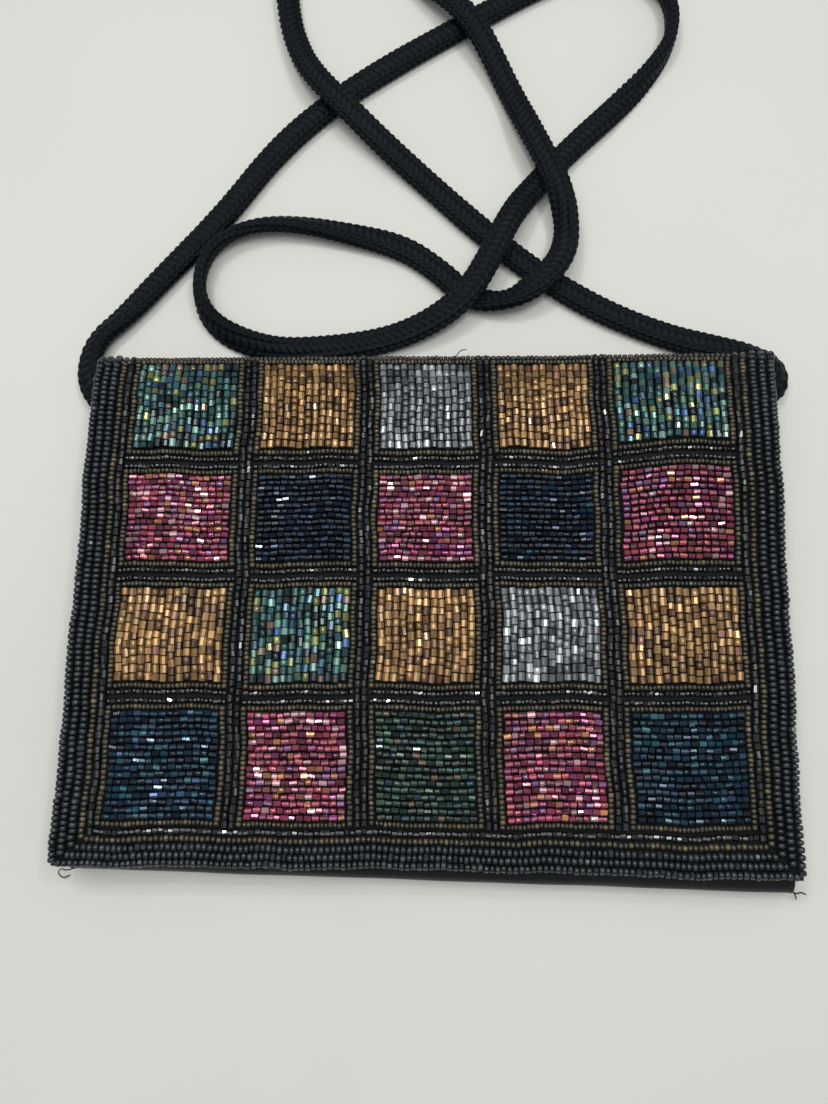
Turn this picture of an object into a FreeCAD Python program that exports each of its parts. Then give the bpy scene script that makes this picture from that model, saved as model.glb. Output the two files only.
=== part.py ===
"""Beaded envelope evening bag, lying on its back with the flap closed.

Millimetres. +X runs along the bag's width, +Y towards the fold at its top, +Z up
from the surface it lies on. The origin is the centre of the footprint, at the
underside. Four bodies move: the pouch back (root), the spine that wraps round the
top, the flap hinged on the spine, and the pouch front, whose mouth gapes.
"""

import FreeCAD, Part
import Sketcher
import math
import os

Vector = FreeCAD.Vector

SIZES = {
    # the pouch
    "body_half_width": 106.0,
    "fold_line": 83.0,
    "bottom_left": 76.0,
    "bottom_right": 83.0,
    "mouth_line": 75.0,
    "cover_thickness": 0.6,
    "board_thickness": 1.0,
    "lining_thickness": 0.4,
    "board_inset": 1.5,
    "lining_inset": 0.5,
    "pocket_height": 5.4,
    "binding_width": 1.2,
    # the soft bottom and the front panel's hinge line
    "front_hinge": 72.0,
    "hinge_gap": 0.4,
    # the side gussets
    "gusset_top": 48.0,
    "gusset_depth": 6.0,
    "gusset_wall": 0.6,
    # the spine between its two fold lines
    "spine_inset": 0.4,
    "spine_cover": 0.9,
    "spine_lining": 0.5,
    "spine_low": 2.3,
    "spine_high": 10.0,
    # the flap
    "flap_half_width": 108.0,
    "flap_bottom": 75.6,
    "flap_inset": 1.0,
    "flap_gap": 2.2,
    "padding_thickness": 0.9,
    "ground_thickness": 0.5,
    # the beadwork
    "bead_height": 2.2,
    "bead_gap": 0.1,
    "pitch": 37.8,
    "bar_half": 2.1,
    "outline": 2.0,
    "outer_field": 93.0,
    "cut_column": 2.3,
    "border_row": 2.4,
    "bar_one": 46.8,
    "bar_two": 10.5,
    "bar_three": -26.6,
    "field_bottom": -62.0,
    "bottom_cut_row": 2.3,
    "bottom_border_row": 2.0,
    # the press stud
    "snap_line": -58.0,
    "snap_radius": 6.0,
    "socket_height": 1.4,
    "socket_floor": 0.2,
    "bore_radius": 2.3,
    "stud_radius": 1.9,
    "stud_length": 1.2,
    "stud_base": 0.6,
    # the shoulder cord
    "cord_diameter": 5.0,
    "anchor_length": 9.0,
}

COLUMNS = 5
ROWS = 4
SAFE_CORNER = 1.5

# The cord's centre line from the left anchor to the right one. It lies on the
# surface, rises over itself at six crossings, and is up on its edge in tight bends.
CORD_ROUTE = [
    (-98, 61.5, 4.6),
    (-108, 69.5, 4.6),
    (-115.5, 80.5, 3.4),
    (-114.5, 94, 2.6),
    (-104, 104, 2.5),
    (-92, 119, 2.5),
    (-72.5, 142, 2.5),
    (-55, 168.5, 2.5),
    (-35.5, 188.5, 2.5),
    (-12, 206, 2.5),
    (15, 223.5, 2.5),
    (37.5, 237.5, 2.5),
    (60, 249, 2.5),
    (80, 247.5, 3.2),
    (91.5, 234, 3.9),
    (91.5, 216.5, 3.9),
    (82.5, 201, 3.2),
    (67, 184.5, 2.5),
    (51, 169, 2.5),
    (38, 154, 2.6),
    (29, 140, 8.0),
    (22, 125, 8.0),
    (14, 110, 8.0),
    (3, 101, 5.6),
    (-13, 94.5, 2.8),
    (-34, 91, 2.5),
    (-55, 90.5, 2.9),
    (-74, 98.5, 3.6),
    (-80.5, 113, 3.9),
    (-77, 129, 3.9),
    (-64, 138, 3.6),
    (-47, 139, 3.2),
    (-27, 135, 2.8),
    (-9, 130, 2.5),
    (3.5, 121, 2.5),
    (14, 110, 2.5),
    (27, 108, 4.0),
    (38, 113.5, 8.0),
    (46.5, 123.5, 8.0),
    (48.5, 137, 6.2),
    (46, 151, 8.0),
    (40.5, 164, 8.0),
    (35.5, 177, 6.6),
    (30.5, 192, 3.0),
    (24, 206, 5.4),
    (18, 217, 8.0),
    (10, 228, 8.0),
    (-2, 241, 4.4),
    (-15, 257, 2.5),
    (-32, 265, 3.2),
    (-47.5, 258, 3.8),
    (-53.5, 242, 3.6),
    (-51.5, 223, 2.9),
    (-46.5, 207, 4.6),
    (-40, 194.5, 8.0),
    (-29.5, 183, 8.0),
    (-16.5, 170.5, 4.6),
    (1, 154, 2.5),
    (18, 137, 2.5),
    (36, 121, 2.5),
    (58, 106, 2.5),
    (82, 95.5, 2.5),
    (98, 91.5, 2.6),
    (109, 89.6, 3.2),
    (117.5, 85.6, 3.8),
    (117.5, 77.6, 4.3),
    (110, 72.6, 4.6),
    (101.5, 69.5, 4.6),
]


class Dim:
    """A length that knows its value and the sheet expression that gives it."""

    def __init__(self, value, text):
        self.value = value
        self.text = text

    def __add__(self, other):
        other = as_dim(other)
        return Dim(self.value + other.value, f"({self.text} + {other.text})")

    def __sub__(self, other):
        other = as_dim(other)
        return Dim(self.value - other.value, f"({self.text} - {other.text})")

    def __mul__(self, factor):
        return Dim(self.value * factor, f"({self.text} * {factor})")

    def __neg__(self):
        return Dim(-self.value, f"(0 - {self.text})")


def as_dim(number):
    """A plain number as a Dim, so that the two can be added."""
    if isinstance(number, Dim):
        return number
    return Dim(float(number), f"({number})")


def size(alias):
    """The sheet's value under an alias."""
    return Dim(SIZES[alias], f"Sizes.{alias}")


def make_sheet(doc):
    """The spreadsheet of driving dimensions."""
    sheet = doc.addObject("Spreadsheet::Sheet", "Sizes")
    for row, (alias, value) in enumerate(SIZES.items(), start=1):
        sheet.set(f"A{row}", alias)
        sheet.set(f"B{row}", str(value))
        sheet.setAlias(f"B{row}", alias)
    doc.recompute()
    return sheet


def bind_base(obj, x, y, z):
    """Place an object at a point given by expressions."""
    for axis, place in zip("xyz", (x, y, z)):
        obj.setExpression(f"Placement.Base.{axis}", as_dim(place).text)


def box(doc, name, low, high):
    """A box between two corners, bound to the sheet."""
    obj = doc.addObject("Part::Box", name)
    obj.Label = name
    for side, start, stop in zip(("Length", "Width", "Height"), low, high):
        obj.setExpression(side, (as_dim(stop) - start).text)
    bind_base(obj, *low)
    return obj


def cylinder(doc, name, radius, height, base):
    """An upright cylinder, bound to the sheet."""
    obj = doc.addObject("Part::Cylinder", name)
    obj.Label = name
    obj.setExpression("Radius", as_dim(radius).text)
    obj.setExpression("Height", as_dim(height).text)
    bind_base(obj, *base)
    return obj


def plane_of(body, role):
    """One of a body's own origin planes."""
    for feature in body.Origin.OriginFeatures:
        if feature.Role == role:
            return feature
    raise ValueError(role)


def outline_sketch(body, name, corners, role):
    """A closed polygon whose corners are held to the sheet by named distances."""
    sketch = body.newObject("Sketcher::SketchObject", name)
    sketch.AttachmentSupport = [(plane_of(body, role), "")]
    sketch.MapMode = "FlatFace"
    points = [Vector(across.value, up.value, 0) for across, up in corners]
    for start, stop in zip(points, points[1:] + points[:1]):
        sketch.addGeometry(Part.LineSegment(start, stop))
    count = len(points)
    for index in range(count):
        following = (index + 1) % count
        sketch.addConstraint(Sketcher.Constraint("Coincident", index, 2, following, 1))
    for index, (across, up) in enumerate(corners):
        for kind, place in (("DistanceX", across), ("DistanceY", up)):
            if place.value < 0:
                rule = Sketcher.Constraint(kind, index, 1, -1, 1, -place.value)
                text = (-place).text
            else:
                rule = Sketcher.Constraint(kind, -1, 1, index, 1, place.value)
                text = place.text
            number = sketch.addConstraint(rule)
            sketch.setExpression(f"Constraints[{number}]", text)
    return sketch


def padded_outline(doc, name, corners, thickness, z, role="XY_Plane", y=0.0):
    """A PartDesign body: a polygon padded by a thickness."""
    body = doc.addObject("PartDesign::Body", name)
    body.Label = name
    sketch = outline_sketch(body, name + "_outline", corners, role)
    pad = body.newObject("PartDesign::Pad", name + "_pad")
    pad.Profile = sketch
    pad.setExpression("Length", thickness.text)
    body.Tip = pad
    bind_base(body, 0.0, y, z)
    doc.recompute()
    return body


def rounded_panel(doc, name, corners, thickness, z, radius=SAFE_CORNER):
    """A padded polygon with its upright corners rounded."""
    body = padded_outline(doc, name, corners, thickness, z)
    pad = body.Tip
    upright = []
    for number, edge in enumerate(pad.Shape.Edges, start=1):
        start, stop = edge.firstVertex().Point, edge.lastVertex().Point
        if abs(start.x - stop.x) + abs(start.y - stop.y) < 1e-6:
            upright.append(f"Edge{number}")
    fillet = body.newObject("PartDesign::Fillet", name + "_corners")
    fillet.Base = (pad, upright)
    fillet.Radius = radius
    body.Tip = fillet
    return body


def group(doc, name, members):
    """Several separate solids that share one node."""
    compound = doc.addObject("Part::Compound", name)
    compound.Label = name
    compound.Links = members
    return compound


def fused(doc, name, members):
    """Several touching solids made one."""
    union = doc.addObject("Part::MultiFuse", name)
    union.Label = name
    union.Shapes = members
    union.Refine = True
    return union


def levels():
    """The height of each layer's underside, from the surface upwards."""
    z = {"back_cover": as_dim(0.0)}
    z["back_board"] = size("cover_thickness")
    z["back_lining"] = z["back_board"] + size("board_thickness")
    z["pocket"] = z["back_lining"] + size("lining_thickness")
    z["front_lining"] = z["pocket"] + size("pocket_height")
    z["front_board"] = z["front_lining"] + size("lining_thickness")
    z["front_cover"] = z["front_board"] + size("board_thickness")
    z["front_top"] = z["front_cover"] + size("cover_thickness")
    z["flap_lining"] = z["front_top"] + size("flap_gap")
    z["flap_padding"] = z["flap_lining"] + size("lining_thickness")
    z["flap_ground"] = z["flap_padding"] + size("padding_thickness")
    z["beads"] = z["flap_ground"] + size("ground_thickness")
    z["top"] = z["beads"] + size("bead_height")
    return z


def pouch_outline(inset, top):
    """The pouch's outline with its slanting lower edge, drawn in by an inset."""
    side = size("body_half_width") - inset
    return [
        (-side, top - inset),
        (-side, -(size("bottom_left") - inset)),
        (side, -(size("bottom_right") - inset)),
        (side, top - inset),
    ]


def make_back(doc, z):
    """The pouch back: cover, board and lining, and the soft bottom of the pouch."""
    top = size("fold_line") - 2.4
    cover = size("cover_thickness")
    board = size("board_thickness")
    lining = size("lining_thickness")
    yield rounded_panel(doc, "back_cover", pouch_outline(0.0, top), cover, z["back_cover"])
    outline = pouch_outline(size("board_inset"), top)
    yield rounded_panel(doc, "back_board", outline, board, z["back_board"])
    outline = pouch_outline(size("lining_inset"), top)
    yield rounded_panel(doc, "back_lining", outline, lining, z["back_lining"])
    side = size("body_half_width")
    seam = -(size("front_hinge") + size("hinge_gap"))
    outline = [
        (-side, seam),
        (-side, -size("bottom_left")),
        (side, -size("bottom_right")),
        (side, seam),
    ]
    depth = z["front_top"] - z["pocket"]
    yield padded_outline(doc, "bottom_fold", outline, depth, z["pocket"])


def make_gusset(doc, z, name, sign):
    """A side gusset: a thin wall folded inwards like a chevron, down one side."""
    outer = size("body_half_width") - size("lining_inset")
    inner = outer - size("gusset_depth")
    wall = size("gusset_wall")
    low = z["pocket"]
    high = z["front_lining"] - 0.3
    middle = (low + high) * 0.5
    corners = [
        (outer * sign, low),
        (inner * sign, middle),
        (outer * sign, high),
        ((outer - wall * 2) * sign, high),
        ((inner - wall * 2) * sign, middle),
        ((outer - wall * 2) * sign, low),
    ]
    length = size("gusset_top") + size("front_hinge")
    return padded_outline(doc, name, corners, length, 0.0, "XZ_Plane", size("gusset_top"))


def make_spine(doc):
    """The strip that stands up at the fold, between its lower and upper fold lines."""
    side = size("body_half_width")
    outer = size("fold_line") - size("spine_inset")
    middle = outer - size("spine_cover")
    inner = middle - 0.1 - size("spine_lining")
    low = size("spine_low")
    high = size("spine_high")
    yield box(doc, "spine_cover", (-side, middle, low), (side, outer, high))
    yield box(doc, "spine_lining", (-side, inner, low), (side, middle - 0.1, high))


def make_front(doc, z):
    """The pouch front: lining, board, cover, the bound mouth edge and the socket."""
    side = size("body_half_width")
    low = -(size("front_hinge") - size("hinge_gap"))
    mouth = size("mouth_line")

    def panel(name, inset, thickness, height):
        right = side - inset
        bottom = low + inset
        outline = [(-right, mouth), (-right, bottom), (right, bottom), (right, mouth)]
        return padded_outline(doc, name, outline, thickness, height)

    yield panel("front_lining", size("lining_inset"), size("lining_thickness"), z["front_lining"])
    yield panel("front_board", size("board_inset"), size("board_thickness"), z["front_board"])
    yield panel("front_cover", as_dim(0.0), size("cover_thickness"), z["front_cover"])
    edge = mouth + size("binding_width")
    yield box(
        doc,
        "mouth_binding",
        (-side, mouth, z["front_lining"]),
        (side, edge, z["front_top"]),
    )
    yield make_socket(doc, z)


def make_socket(doc, z):
    """The press stud's lower half: a disc with a blind bore, its rim rounded."""
    line = size("snap_line")
    base = (0.0, line, z["front_top"])
    disc = cylinder(doc, "socket_disc", size("snap_radius"), size("socket_height"), base)
    depth = size("socket_height") - size("socket_floor")
    start = (0.0, line, z["front_top"] + size("socket_floor"))
    bore = cylinder(doc, "socket_bore", size("bore_radius"), depth, start)
    cut = doc.addObject("Part::Cut", "socket_body")
    cut.Base = disc
    cut.Tool = bore
    doc.recompute()
    return rounded_rim(doc, "snap_socket", cut, size("snap_radius"), z["front_top"].value)


def rounded_rim(doc, name, base, radius, seat, rounding=0.4):
    """Round the outer rim of a disc on the side away from the height of its seat."""
    rims = []
    for number, edge in enumerate(base.Shape.Edges, start=1):
        curve = edge.Curve
        if not isinstance(curve, Part.Circle):
            continue
        free = abs(curve.Center.z - seat) > 1e-6
        if free and abs(curve.Radius - radius.value) < 1e-6:
            rims.append((number, rounding, rounding))
    fillet = doc.addObject("Part::Fillet", name)
    fillet.Label = name
    fillet.Base = base
    fillet.Edges = rims
    return fillet


def make_stud(doc, z):
    """The press stud's upper half: a thin disc with the stud that enters the bore."""
    line = size("snap_line")
    height = size("stud_base")
    base = (0.0, line, z["flap_lining"] - height)
    disc = cylinder(doc, "stud_disc", size("snap_radius"), height, base)
    start = (0.0, line, z["flap_lining"] - height - size("stud_length"))
    stud = cylinder(doc, "stud_post", size("stud_radius"), size("stud_length"), start)
    union = fused(doc, "stud_body", [disc, stud])
    doc.recompute()
    return rounded_rim(doc, "snap_stud", union, size("snap_radius"), z["flap_lining"].value, 0.2)


def make_flap(doc, z):
    """The flap's layers under the beads, and its half of the press stud."""
    fold = size("fold_line")

    def layer(name, inset, thickness, height):
        side = size("flap_half_width") - inset
        low = -(size("flap_bottom") - inset)
        outline = [(-side, fold - inset), (-side, low), (side, low), (side, fold - inset)]
        return rounded_panel(doc, name, outline, thickness, height)

    inset = size("flap_inset")
    yield layer("flap_lining", inset, size("lining_thickness"), z["flap_lining"])
    yield layer("flap_padding", inset * 1.5, size("padding_thickness"), z["flap_padding"])
    yield layer("flap_ground", as_dim(0.0), size("ground_thickness"), z["flap_ground"])
    yield make_stud(doc, z)


def field_sides(column):
    """The left and right sides of a column of squares."""
    clear = size("bar_half") + size("outline") + size("bead_gap")
    left = size("pitch") * (column - 2.5) + clear
    right = size("pitch") * (column - 1.5) - clear
    if column == 0:
        left = -size("outer_field")
    if column == COLUMNS - 1:
        right = size("outer_field")
    return left, right


def field_ends(row):
    """The lower and upper ends of a row of squares."""
    bars = [size("bar_one"), size("bar_two"), size("bar_three")]
    clear = size("bar_half") + size("outline") + size("bead_gap")
    high = size("fold_line") - size("outline") - size("bead_gap")
    if row > 0:
        high = bars[row - 1] - clear
    low = size("field_bottom")
    if row < ROWS - 1:
        low = bars[row] + clear
    return low, high


def make_squares(doc, z):
    """The twenty squares, and the bronze outlines round them, one node for each row."""
    gap = size("bead_gap")
    rim = size("outline")
    for row in range(ROWS):
        low, high = field_ends(row)
        rings = []
        for column in range(COLUMNS):
            left, right = field_sides(column)
            label = f"bead_square_r{row + 1}_c{column + 1}"
            yield box(doc, label, (left, low, z["beads"]), (right, high, z["top"]))
            inner = box(
                doc,
                f"ring_hole_{row}_{column}",
                (left - gap, low - gap, z["beads"] - 1.0),
                (right + gap, high + gap, z["top"] + 1.0),
            )
            outer = box(
                doc,
                f"ring_outer_{row}_{column}",
                (left - rim, low - rim, z["beads"]),
                (right + rim, high + rim, z["top"]),
            )
            ring = doc.addObject("Part::Cut", f"ring_{row}_{column}")
            ring.Base = outer
            ring.Tool = inner
            rings.append(ring)
        yield group(doc, f"square_outlines_row_{row + 1}", rings)


def make_lattice(doc, z):
    """The dark strands between the squares: four upright bars and four cross rows."""
    gap = size("bead_gap")
    half = size("bar_half")
    lowest = size("field_bottom") - size("outline") - gap
    for bar in range(COLUMNS - 1):
        middle = size("pitch") * (bar - 1.5)
        yield box(
            doc,
            f"lattice_column_{bar + 1}",
            (middle - half, lowest, z["beads"]),
            (middle + half, size("fold_line"), z["top"]),
        )
    outer = size("outer_field") + size("outline")
    for number, alias in enumerate(("bar_one", "bar_two", "bar_three"), start=1):
        middle = size(alias)
        pieces = []
        for column in range(COLUMNS):
            left = size("pitch") * (column - 2.5) + half + gap
            right = size("pitch") * (column - 1.5) - half - gap
            if column == 0:
                left = -outer
            if column == COLUMNS - 1:
                right = outer
            low = (left, middle - half, z["beads"])
            high = (right, middle + half, z["top"])
            pieces.append(box(doc, f"cross_{number}_{column}", low, high))
        yield group(doc, f"lattice_row_{number}", pieces)
    top = lowest - gap
    yield box(
        doc,
        "lattice_row_4",
        (-outer, top - size("bottom_cut_row"), z["beads"]),
        (outer, top, z["top"]),
    )


def u_strip(doc, z, name, inner, width, top, depth):
    """A strand that runs down one side of the flap, along its foot and up the other."""
    outer = inner + width
    foot = top - depth
    fold = size("fold_line")
    parts = [
        box(doc, name + "_left", (-outer, foot, z["beads"]), (-inner, fold, z["top"])),
        box(doc, name + "_right", (inner, foot, z["beads"]), (outer, fold, z["top"])),
        box(doc, name + "_foot", (-outer, foot, z["beads"]), (outer, top, z["top"])),
    ]
    return fused(doc, name, parts)


def make_border(doc, z):
    """The border: dark columns, a bronze frame and three rows of black seed beads."""
    gap = size("bead_gap")
    cut = size("cut_column")
    inner = size("outer_field") + size("outline") + gap
    foot = size("field_bottom") - size("outline") - gap * 2 - size("bottom_cut_row")
    for name, left, right in (
        ("cut_column_left", -(inner + cut), -inner),
        ("cut_column_right", inner, inner + cut),
    ):
        low = (left, foot, z["beads"])
        high = (right, size("fold_line"), z["top"])
        yield box(doc, name, low, high)
    start = inner + cut + gap
    top = foot - gap
    yield u_strip(doc, z, "bronze_frame", start, size("outline"), top, size("outline"))
    start = start + size("outline") + gap
    top = top - size("outline") - gap
    for number in range(1, 4):
        row = size("bottom_border_row")
        width = size("border_row")
        yield u_strip(doc, z, f"black_border_{number}", start, width, top, row)
        start = start + width + gap
        top = top - row - gap


def rounded_path(points):
    """Straight runs joined by arcs as large as the runs allow: the wire and radii."""
    edges = []
    radii = []
    last = points[0]
    for before, corner, after in zip(points, points[1:], points[2:]):
        back = before - corner
        ahead = after - corner
        trim = 0.45 * min(back.Length, ahead.Length)
        half_turn = (math.pi - back.getAngle(ahead)) / 2
        radius = trim / math.tan(half_turn)
        back.normalize()
        ahead.normalize()
        enter = corner + back * trim
        leave = corner + ahead * trim
        inward = back + ahead
        inward.normalize()
        middle = corner + inward * (radius / math.cos(half_turn) - radius)
        edges.append(Part.LineSegment(last, enter).toShape())
        edges.append(Part.Arc(enter, middle, leave).toShape())
        last = leave
        radii.append(radius)
    edges.append(Part.LineSegment(last, points[-1]).toShape())
    return Part.Wire(edges), radii


def make_cord(doc):
    """The shoulder cord: a plain round tube along its route."""
    radius = SIZES["cord_diameter"] / 2
    points = [Vector(*point) for point in CORD_ROUTE]
    wire, radii = rounded_path(points)
    start = points[0]
    along = points[1] - start
    section = Part.Wire([Part.makeCircle(radius, start, along)])
    tube = wire.makePipeShell([section], True, True)
    expected = math.pi * radius * radius * wire.Length
    print(f"cord: {wire.Length:.0f} mm, volume ratio {tube.Volume / expected:.4f}")
    print("cord radii: " + " ".join(f"{value:.0f}" for value in radii))
    cord = doc.addObject("Part::Feature", "cord")
    cord.Label = "cord"
    cord.Shape = tube
    return cord


def make_anchor(doc, name, end, beyond):
    """The bound end of the cord, sewn down inside the pouch's corner."""
    away = Vector(*end) - Vector(*beyond)
    anchor = doc.addObject("Part::Cylinder", name)
    anchor.Label = name
    anchor.setExpression("Radius", (size("cord_diameter") * 0.5).text)
    anchor.setExpression("Height", size("anchor_length").text)
    turn = FreeCAD.Rotation(Vector(0, 0, 1), away)
    anchor.Placement = FreeCAD.Placement(Vector(*end), turn)
    return anchor


def check_and_write(doc, nodes):
    """Refuse a failed or broken object, then write each node's solid."""
    doc.recompute()
    for obj in doc.Objects:
        if "Invalid" in obj.State or "Error" in obj.State:
            raise RuntimeError(f"{obj.Name} failed: {obj.State}")
    os.makedirs("parts", exist_ok=True)
    for node in nodes:
        shape = node.Shape
        if shape.isNull() or not shape.isValid() or shape.Volume <= 0:
            raise RuntimeError(f"{node.Label} has no valid solid")
        shape.exportStep(f"parts/{node.Label}.step")
    print(f"{len(nodes)} nodes written")


def main():
    doc = FreeCAD.newDocument("EveningBag")
    make_sheet(doc)
    z = levels()
    nodes = list(make_back(doc, z))
    nodes.append(make_gusset(doc, z, "gusset_left", -1))
    nodes.append(make_gusset(doc, z, "gusset_right", 1))
    nodes.append(make_cord(doc))
    nodes.append(make_anchor(doc, "cord_anchor_left", CORD_ROUTE[0], CORD_ROUTE[1]))
    nodes.append(make_anchor(doc, "cord_anchor_right", CORD_ROUTE[-1], CORD_ROUTE[-2]))
    nodes.extend(make_spine(doc))
    nodes.extend(make_front(doc, z))
    nodes.extend(make_flap(doc, z))
    nodes.extend(make_squares(doc, z))
    nodes.extend(make_lattice(doc, z))
    nodes.extend(make_border(doc, z))
    check_and_write(doc, nodes)


main()
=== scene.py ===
"""The looks of a beaded envelope evening bag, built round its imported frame.

Lengths are written in millimetres and turned into metres as meshes are made. The
flap's beadwork is laid out in the flap's own plane (x across, s from the foot to
the fold) and carried onto its curved surface by on_flap().
"""

import math

import bpy
import numpy as np
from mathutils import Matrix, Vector


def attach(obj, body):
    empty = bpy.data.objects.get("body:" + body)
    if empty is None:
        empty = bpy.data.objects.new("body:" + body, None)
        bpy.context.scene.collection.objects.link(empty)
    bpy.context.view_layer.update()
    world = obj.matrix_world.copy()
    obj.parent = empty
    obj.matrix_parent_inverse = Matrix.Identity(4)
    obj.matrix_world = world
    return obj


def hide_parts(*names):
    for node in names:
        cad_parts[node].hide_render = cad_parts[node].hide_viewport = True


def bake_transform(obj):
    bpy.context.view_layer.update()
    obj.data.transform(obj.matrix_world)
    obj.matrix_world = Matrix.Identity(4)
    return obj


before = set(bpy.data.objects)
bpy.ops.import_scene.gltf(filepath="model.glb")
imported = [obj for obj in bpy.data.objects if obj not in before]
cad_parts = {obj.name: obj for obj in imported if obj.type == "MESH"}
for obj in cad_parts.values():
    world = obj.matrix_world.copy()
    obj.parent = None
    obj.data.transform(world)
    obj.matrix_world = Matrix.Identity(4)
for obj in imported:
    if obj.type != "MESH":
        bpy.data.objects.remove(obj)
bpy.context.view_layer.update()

MM = 0.001
RNG = np.random.default_rng(20)

# -------------------------------- the layout, mm
FLAP_FOOT = -75.6
FLAP_HALF = 108
FOLD_LINE = 83.0
FOLD_START = 78.7
FOLD_RADIUS = 2.4
GROUND_TOP = 13.4
STRAND_TOP = 84.3
PITCH = 37.8
BAR_HALF = 2.1
OUTLINE = 2.0
GAP = 0.1
OUTER_FIELD = 93.0
ROW_BOUNDS = [(51.0, 80.3), (14.7, 42.6), (-22.4, 6.3), (-62.0, -30.8)]
BARS = [46.8, 10.5, -26.6]
PANEL_HALF = 106
BACK_SEAM = -72.4
FOOT_LEFT = -76.0
FOOT_RIGHT = -83.0
FOOT_MIDDLE = 4.9
FOOT_HALF = 4.55
SQUARED = 0.24  # the power that squares the foot's lower half
FLOOR_HALF = 12000
SIDES = (("left", -1), ("right", 1))

CORD_ROUTE = [
    (-98, 61.5, 4.6),
    (-108, 69.5, 4.6),
    (-115.5, 80.5, 3.4),
    (-114.5, 94, 2.6),
    (-104, 104, 2.5),
    (-92, 119, 2.5),
    (-72.5, 142, 2.5),
    (-55, 168.5, 2.5),
    (-35.5, 188.5, 2.5),
    (-12, 206, 2.5),
    (15, 223.5, 2.5),
    (37.5, 237.5, 2.5),
    (60, 249, 2.5),
    (80, 247.5, 3.2),
    (91.5, 234, 3.9),
    (91.5, 216.5, 3.9),
    (82.5, 201, 3.2),
    (67, 184.5, 2.5),
    (51, 169, 2.5),
    (38, 154, 2.6),
    (29, 140, 8.0),
    (22, 125, 8.0),
    (14, 110, 8.0),
    (3, 101, 5.6),
    (-13, 94.5, 2.8),
    (-34, 91, 2.5),
    (-55, 90.5, 2.9),
    (-74, 98.5, 3.6),
    (-80.5, 113, 3.9),
    (-77, 129, 3.9),
    (-64, 138, 3.6),
    (-47, 139, 3.2),
    (-27, 135, 2.8),
    (-9, 130, 2.5),
    (3.5, 121, 2.5),
    (14, 110, 2.5),
    (27, 108, 4.0),
    (38, 113.5, 8.0),
    (46.5, 123.5, 8.0),
    (48.5, 137, 6.2),
    (46, 151, 8.0),
    (40.5, 164, 8.0),
    (35.5, 177, 6.6),
    (30.5, 192, 3.0),
    (24, 206, 5.4),
    (18, 217, 8.0),
    (10, 228, 8.0),
    (-2, 241, 4.4),
    (-15, 257, 2.5),
    (-32, 265, 3.2),
    (-47.5, 258, 3.8),
    (-53.5, 242, 3.6),
    (-51.5, 223, 2.9),
    (-46.5, 207, 4.6),
    (-40, 194.5, 8.0),
    (-29.5, 183, 8.0),
    (-16.5, 170.5, 4.6),
    (1, 154, 2.5),
    (18, 137, 2.5),
    (36, 121, 2.5),
    (58, 106, 2.5),
    (82, 95.5, 2.5),
    (98, 91.5, 2.6),
    (109, 89.6, 3.2),
    (117.5, 85.6, 3.8),
    (117.5, 77.6, 4.3),
    (110, 72.6, 4.6),
    (101.5, 69.5, 4.6),
]

# How far the flat braid is turned up on its edge at a route point, in degrees.
CORD_TWIST = {
    0: 0, 1: 10, 2: 30, 3: 32, 4: 15, 6: 0, 12: 0, 13: 45, 14: 85, 15: 85, 16: 55,
    17: 15, 18: 0, 24: 0, 25: 10, 26: 30, 27: 60, 28: 80, 29: 75, 30: 50, 31: 40,
    32: 20, 33: 0, 35: 0, 36: 40, 37: 0, 38: 0, 39: 50, 40: 15, 41: 0, 48: 0,
    49: 30, 50: 50, 51: 45, 52: 25, 53: 8, 54: 0, 62: 0, 63: 20, 64: 50, 65: 40, 66: 10,
    67: 0,
}

# The braid, in mm: half its width and thickness in the hollows between its tufts, the
# length of a tuft and how far it slants, and the columns of tufts round the cord.
BRAID_HALF_WIDE = 3.6
BRAID_HALF_THIN = 1.4
TUFT_LENGTH = 2.6
TUFT_SLANT = 0.85
TUFT_COLUMNS = 10
BRAID_SIDES = 50
BRAID_STEP = 0.62


# -------------------------------- mesh helpers
def link(obj):
    bpy.context.scene.collection.objects.link(obj)
    return obj


def mesh_object(name, verts, quads, tint=None, flat=None):
    """An object from vertices in mm and faces of four corners, smooth but for some."""
    verts = np.asarray(verts, np.float32) * MM
    quads = np.asarray(quads, np.int32)
    mesh = bpy.data.meshes.new(name)
    mesh.vertices.add(len(verts))
    mesh.vertices.foreach_set("co", verts.ravel())
    mesh.loops.add(quads.size)
    mesh.loops.foreach_set("vertex_index", quads.ravel())
    mesh.polygons.add(len(quads))
    mesh.polygons.foreach_set("loop_start", np.arange(0, quads.size, 4, dtype=np.int32))
    smooth = np.full(len(quads), True) if flat is None else ~flat
    mesh.polygons.foreach_set("use_smooth", smooth)
    mesh.update(calc_edges=True)
    if tint is not None:
        layer = mesh.attributes.new("tint", "FLOAT_COLOR", "POINT")
        colour = np.ones((len(verts), 4), np.float32)
        colour[:, :3] = tint
        layer.data.foreach_set("color", colour.ravel())
    return link(bpy.data.objects.new(name, mesh))


def grid_faces(rows, columns, wrap_rows=False, wrap_columns=False):
    """The faces of a grid of points stored row by row."""
    r = np.arange(rows if wrap_rows else rows - 1)
    c = np.arange(columns if wrap_columns else columns - 1)
    r, c = np.meshgrid(r, c, indexing="ij")
    r2, c2 = (r + 1) % rows, (c + 1) % columns
    corners = [r * columns + c, r * columns + c2, r2 * columns + c2, r2 * columns + c]
    return np.stack(corners, -1).reshape(-1, 4)


def unit(v):
    return v / np.maximum(np.linalg.norm(v, axis=-1, keepdims=True), 1e-9)


def rounded(wave, power):
    """A sine or cosine made blunter, for round shapes with flatter sides."""
    return np.sign(wave) * np.abs(wave) ** power


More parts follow.
